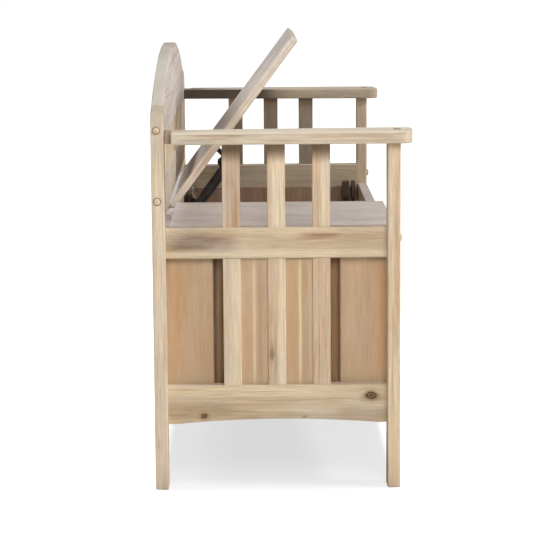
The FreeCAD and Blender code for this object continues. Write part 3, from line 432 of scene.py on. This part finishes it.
PANEL = dict(grain="Z", light=(176, 144, 112), mid=(158, 124, 92), dark=(120, 88, 62), ring=0.5, lime=0.12, lines=0.6)
# painted shade: the panel's darker gain is partly its own tone, partly shade in the narrow grooves; the streaks paint
# the grooves dark beside each board and paler beside the slats
use(wood("panel_left", seed=24.0, gain=(0.66, 0.60, 0.53),
         streaks=[("Y", 0.1215, 0.0045, 0.18, 0.42, 0.7, (60, 44, 30)), ("Y", 0.1105, 0.0030, 0.18, 0.42, 0.5, (170, 132, 98)),
                  ("Y", -0.0900, 0.0050, 0.18, 0.42, 0.7, (176, 138, 102)), ("Y", -0.1000, 0.0030, 0.18, 0.42, 0.5, (92, 68, 48))],
         **PANEL), "side_panel_left")
use(wood("panel_right", seed=25.0, gain=(0.62, 0.62, 0.68), **PANEL), "side_panel_right")
BOARD = dict(grain="Z", light=(196, 166, 132), mid=(188, 156, 122), dark=(166, 130, 98), ring=0.30, lime=0.16, lines=0.15,
             fibre=0.45)
STRIPES = [("Y", 0.190, 0.0140, 0.20, 0.395, 0.55, (196, 152, 108)), ("Y", 0.160, 0.0100, 0.19, 0.40, 0.35, (190, 160, 126)),
           ("Y", -0.176, 0.0090, 0.20, 0.40, 0.65, (200, 152, 108)), ("Y", -0.140, 0.0180, 0.20, 0.40, 0.45, (190, 158, 130)),
           ("Y", 0.068, 0.0055, 0.18, 0.42, 0.70, (192, 156, 118)), ("Y", 0.0525, 0.0028, 0.18, 0.42, 0.85, (222, 196, 158)),
           ("Y", 0.0430, 0.0036, 0.18, 0.42, 0.75, (178, 146, 112)), ("Y", 0.0330, 0.0040, 0.18, 0.42, 0.60, (206, 178, 144)),
           ("Y", -0.017, 0.0060, 0.18, 0.42, 0.70, (196, 156, 112)), ("Y", -0.0300, 0.0026, 0.18, 0.42, 0.90, (228, 202, 160)),
           ("Y", -0.0375, 0.0026, 0.18, 0.42, 0.75, (186, 152, 114)), ("Y", -0.0480, 0.0040, 0.18, 0.42, 0.70, (210, 182, 146))]
use(wood("board_left", seed=26.0, streaks=STRIPES, extra=haze(0.1852, 0.4155), **BOARD), "side_boards_left")
use(wood("board_right", seed=27.0, extra=haze(0.1852, 0.4155), **BOARD), "side_boards_right")
use(wood("front_board", seed=28.0, cell=("X", 0.25, 0.5), cell_var=0.05, **BOARD), "front_boards")
use(wood("front_panel", seed=29.0, gain=(0.8, 0.78, 0.76), **PANEL), "front_panel")
use(wood("back_panel", seed=30.0, gain=(0.8, 0.8, 0.8), **PANEL), "box_back_panel")
use(wood("floor_board", seed=31.0, grain="X", light=(186, 156, 122), mid=(170, 138, 106), dark=(132, 100, 72)),
    "box_floor")
use(wood("cleat", seed=32.0, grain="X", light=(176, 148, 114), mid=(160, 130, 98), dark=(126, 96, 68)),
    "floor_cleats")
# painted shade: the lid rests are near-black-brown, standing in for the deep shade in the box's front corner
use(wood("rest", seed=37.0, grain="Z", light=(92, 76, 60), mid=(74, 60, 47), dark=(50, 40, 31), top_tint=0.0, lime=0.05),
    "lid_rests")
use(wood("bearer", seed=33.0, grain="Y", light=(206, 182, 146), mid=(190, 162, 124), dark=(148, 116, 82)),
    "center_bearer")


def blotch(colour, amount, along=9.0, across=30.0):
    """Soft worn patches of another tone on a lid."""
    def f(m, col, axes, n):
        b = m.noise(m.comb(m.mul(axes[0], across), m.mul(axes[1], along), m.mul(axes[2], across)), 1.0, 4.0, 0.6)
        b2 = m.noise(m.comb(m.mul(axes[0], 70.0), m.mul(axes[1], 26.0), 3.0), 1.0, 3.0, 0.6)
        k = m.mul(m.smooth(m.add(m.mul(b, 0.6), m.mul(b2, 0.4)), 0.44, 0.60), amount)
        return m.mix(k, col, srgb(colour))
    return f


LID = dict(grain="Y", light=(218, 208, 200), mid=(198, 184, 174), dark=(156, 138, 126), ring=0.5, top_tint=0.55,
           top_col=(190, 180, 176), lines=0.7)
# painted light: the open lid's colours are paler than the closed lid's, making up for its shade
LID_OPEN = dict(LID, light=(232, 221, 205), mid=(221, 205, 185), dark=(176, 151, 128), top_col=(222, 213, 207), lime=0.3,
                lime_col=(232, 225, 216), top_tint=0.75)
use(wood("lid_left", seed=34.0, extra=blotch((212, 205, 202), 0.6, 7.0, 18.0),
         streaks=[("X", -0.33, 0.09, 0.10, 0.22, 0.45, (170, 152, 140))], **dict(LID, lines=0.45)), "lid_left")
def open_lid_painted_light(m, col, axes, n):
    """The open lid's upper face: soft patches, a darker band, and painted light toward the hinge, where it lies in
    shade.
    """
    col = blotch((168, 150, 140), 0.24, 7.0, 18.0)(m, col, axes, n)
    nz = m.sep(closed(m, True, "Normal"))[2]
    face = m.smooth(nz, 0.45, 0.9)
    y = m.add(axes[1], m.mul(m.sub(n["patch"], 0.5), 0.020))
    col = m.mix(m.mul(m.mul(m.bell(y, 0.140, 0.012), face), 0.45), col, srgb((96, 76, 66)))
    # painted light: the upper face is lightened toward the hinge
    return m.mix(m.mul(m.mul(m.smooth(y, 0.156, 0.178), face), 0.60), col, srgb((246, 240, 236)))


use(wood("lid_right", seed=35.0, tilted=True, extra=open_lid_painted_light,
         # the streak at Z 0.436 is painted shade: a thin dark line along the lid's lower edge
         streaks=[("X", 0.012, 0.05, -0.02, 0.10, 0.45, (160, 140, 128)), ("Z", 0.436, 0.0012, -0.22, 0.21, 0.25, (160, 126, 94)),
                  ("Z", 0.442, 0.0030, 0.07, 0.13, 0.55, (176, 132, 100))],
         **LID_OPEN), "lid_right")


def plug_rim(m, col, axes, n):
    """Dark line round each plug on the outer faces, and a darker tone on the plugs that lie off them."""
    x, y, z = axes
    dy = m.sub(y, 0.221)
    near = None
    for zc in (0.6465, 0.5215):
        dz = m.sub(z, zc)
        r = m.math("SQRT", m.add(m.mul(dy, dy), m.mul(dz, dz)))
        near = r if near is None else m.math("MINIMUM", near, r)
    side = m.smooth(m.math("ABSOLUTE", x), 0.5446, 0.5450)
    rim = m.mul(m.smooth(near, 0.0050, 0.0064), side)
    col = m.mix(m.mul(rim, 0.85), col, srgb((118, 84, 54)))
    ends = m.mul(m.smooth(m.math("ABSOLUTE", y), 0.2075, 0.2086), m.sub(1.0, side))
    return m.mix(m.mul(ends, 0.55), col, srgb((150, 118, 92)))


use(wood("plug_wood", seed=36.0, grain="Y", light=(228, 214, 192), mid=(220, 203, 178), dark=(184, 158, 128), lime=0.1,
         top_tint=0.0, extra=plug_rim), "post_plugs")
# painted shade: the arm plugs are dark brown, standing in for the shaded gap round each plug
use(wood("arm_plug_wood", seed=38.0, grain="Y", light=(150, 120, 90), mid=(128, 98, 70), dark=(92, 68, 48), lime=0.1,
         top_tint=0.0), "arm_plugs")

STEEL = metal("zinc_steel", base=(206, 204, 198), dark=(168, 165, 160), wear=(226, 224, 220), metallic=0.35,
              rough=0.42)
use(STEEL, "joint_bolts", "arm_screws", "frame_screws", "lid_screws_left", "lid_screws_right")
# painted light: the hinge parts are pale and non-metallic, so the shaded gap behind the lid reads as light as the lid
use(metal("pale_steel", base=(214, 202, 194), dark=(186, 172, 162), wear=(230, 222, 216), metallic=0.0, rough=0.5, spec=0.35),
    "hinge_pins", "hinge_fixed_leaves", "hinge_lid_leaves_left", "hinge_lid_leaves_right")


def base_marks(m, col):
    """Pale line down each base plate and a dark disc at the pivot."""
    x, y, z = m.sep(m.coords())
    dy, dz = m.sub(y, 0.197), m.sub(z, 0.3985)
    r = m.math("SQRT", m.add(m.mul(dy, dy), m.mul(dz, dz)))
    col = m.mix(m.mul(m.bell(y, 0.1905, 0.0013), 0.85), col, srgb((240, 238, 232)))
    return m.mix(m.smooth(r, 0.0074, 0.0066), col, srgb((60, 54, 50)))


use(metal("base_steel", base=(186, 160, 128), dark=(150, 124, 96), wear=(214, 206, 194), metallic=0.0, rough=0.5,
          wear_amount=0.35, spec=0.4, marks=base_marks), "stay_bases")
DARK = metal("dark_steel", base=(62, 58, 54), dark=(40, 37, 34), rough=0.42, metallic=0.6, wear=(110, 104, 98))
use(DARK, "stay_arm_left", "stay_arm_right", "stay_link_left", "stay_link_right", "stay_lid_bracket_left",
    "stay_lid_bracket_right", "stay_elbow_pin_left", "stay_elbow_pin_right")
use(metal("damper_plastic", base=(58, 55, 52), dark=(44, 41, 38), rough=0.5, metallic=0.0, wear=(84, 80, 76),
          wear_amount=0.2), "stay_damper_left", "stay_damper_right")

# ---- floor, light, camera --------------------------------------------------
bpy.ops.mesh.primitive_plane_add(size=60.0, location=(0, 0, 0))
floor = bpy.context.object
floor.name = "floor"
fm = Mat("studio_floor")
fp = fm.coords()
fn = fm.noise(fp, 3.0, 2.0, 0.5)
fm.bsdf.inputs["Roughness"].default_value = 0.9
fm.bsdf.inputs["Specular IOR Level"].default_value = 0.0
fm.bsdf.inputs["Emission Color"].default_value = (1, 1, 1, 1)
# the floor is bright white, with a painted soft shadow under the bench: lower camera glow and a darker base colour
# there
fx, fy, fz = fm.sep(fp)
out_x = fm.smooth(fm.math("ABSOLUTE", fx), 0.44, 0.72)
far_x = fm.smooth(fm.math("ABSOLUTE", fx), 0.53, 0.74)
out_y = fm.smooth(fm.math("ABSOLUTE", fm.add(fy, -0.010)), 0.200, 0.235)
away = fm.math("MAXIMUM", out_x, out_y)
glow = fm.math("MULTIPLY_ADD", away, 0.32, 0.68)
lit = fm.math("MAXIMUM", far_x, out_y)
pale = fm.mix(fn, (0.80, 0.80, 0.81, 1), (0.83, 0.83, 0.84, 1))
# painted shadow: a darker base colour under the bench
fm.put(fm.bsdf.inputs["Base Color"], fm.mix(lit, (0.20, 0.20, 0.205, 1), pale))
flp = fm.node("ShaderNodeLightPath")
fm.put(fm.bsdf.inputs["Emission Strength"], fm.mul(glow, flp.outputs["Is Camera Ray"]))
floor.data.materials.append(fm.mat)

world = bpy.data.worlds.new("studio")
scene.world = world
world.use_nodes = True
wt = world.node_tree
wt.nodes.clear()
wo = wt.nodes.new("ShaderNodeOutputWorld")
wb = wt.nodes.new("ShaderNodeBackground")
wc = wt.nodes.new("ShaderNodeBackground")
wm = wt.nodes.new("ShaderNodeMixShader")
lp = wt.nodes.new("ShaderNodeLightPath")
wb.inputs[0].default_value = (1, 1, 1, 1)
wb.inputs[1].default_value = 0.17
wc.inputs[0].default_value = (1, 1, 1, 1)
wc.inputs[1].default_value = 1.0
wt.links.new(lp.outputs["Is Camera Ray"], wm.inputs[0])
wt.links.new(wb.outputs[0], wm.inputs[1])
wt.links.new(wc.outputs[0], wm.inputs[2])
wt.links.new(wm.outputs[0], wo.inputs[0])


def area(name, loc, target, size, power, color=(1, 1, 1)):
    data = bpy.data.lights.new(name, "AREA")
    data.shape = "RECTANGLE"
    data.size, data.size_y = size
    data.energy = power
    data.color = color
    o = bpy.data.objects.new(name, data)
    scene.collection.objects.link(o)
    o.location = loc
    d = Vector(target) - Vector(loc)
    o.rotation_mode = "QUATERNION"
    o.rotation_quaternion = d.to_track_quat("-Z", "Y")
    o.visible_camera = False
    return o


area("key", (-2.15, -0.30, 1.55), (-0.55, 0.0, 0.40), (0.9, 0.9), 26.0, (1.0, 0.985, 0.96))
area("front", (-1.0, -3.0, 2.45), (0.0, 0.0, 0.4), (0.6, 0.6), 85.0, (1.0, 0.99, 0.98))
area("back_top", (0.2, 2.6, 3.0), (0.0, 0.0, 0.5), (1.6, 1.6), 60.0, (0.98, 0.98, 1.0))

# camera, fitted to the photograph
CAM = (-3.9958, 0.04907, 0.96339)
YAW, PITCH, ROLL = math.radians(-0.9355), math.radians(7.8578), math.radians(-0.3779)
fw = Vector((math.cos(PITCH) * math.cos(YAW), math.cos(PITCH) * math.sin(YAW), -math.sin(PITCH)))
rt = fw.cross(Vector((0, 0, 1))).normalized()
up = rt.cross(fw)
c, s = math.cos(ROLL), math.sin(ROLL)
r2 = c * rt + s * up
u2 = -s * rt + c * up
cam_data = bpy.data.cameras.new("camera")
cam_data.sensor_fit = "HORIZONTAL"
cam_data.sensor_width = 36.0
cam_data.lens = 129.316
cam_data.shift_x = -0.02159
cam_data.shift_y = -0.1
cam_data.clip_start, cam_data.clip_end = 0.05, 100.0
cam = bpy.data.objects.new("camera", cam_data)
scene.collection.objects.link(cam)
m3 = Matrix((r2, u2, -fw)).transposed()
cam.matrix_world = Matrix.Translation(Vector(CAM)) @ m3.to_4x4()
scene.camera = cam

scene.view_settings.view_transform = "Standard"
scene.view_settings.look = "None"
scene.view_settings.exposure = 0.0
scene.view_settings.gamma = 1.0
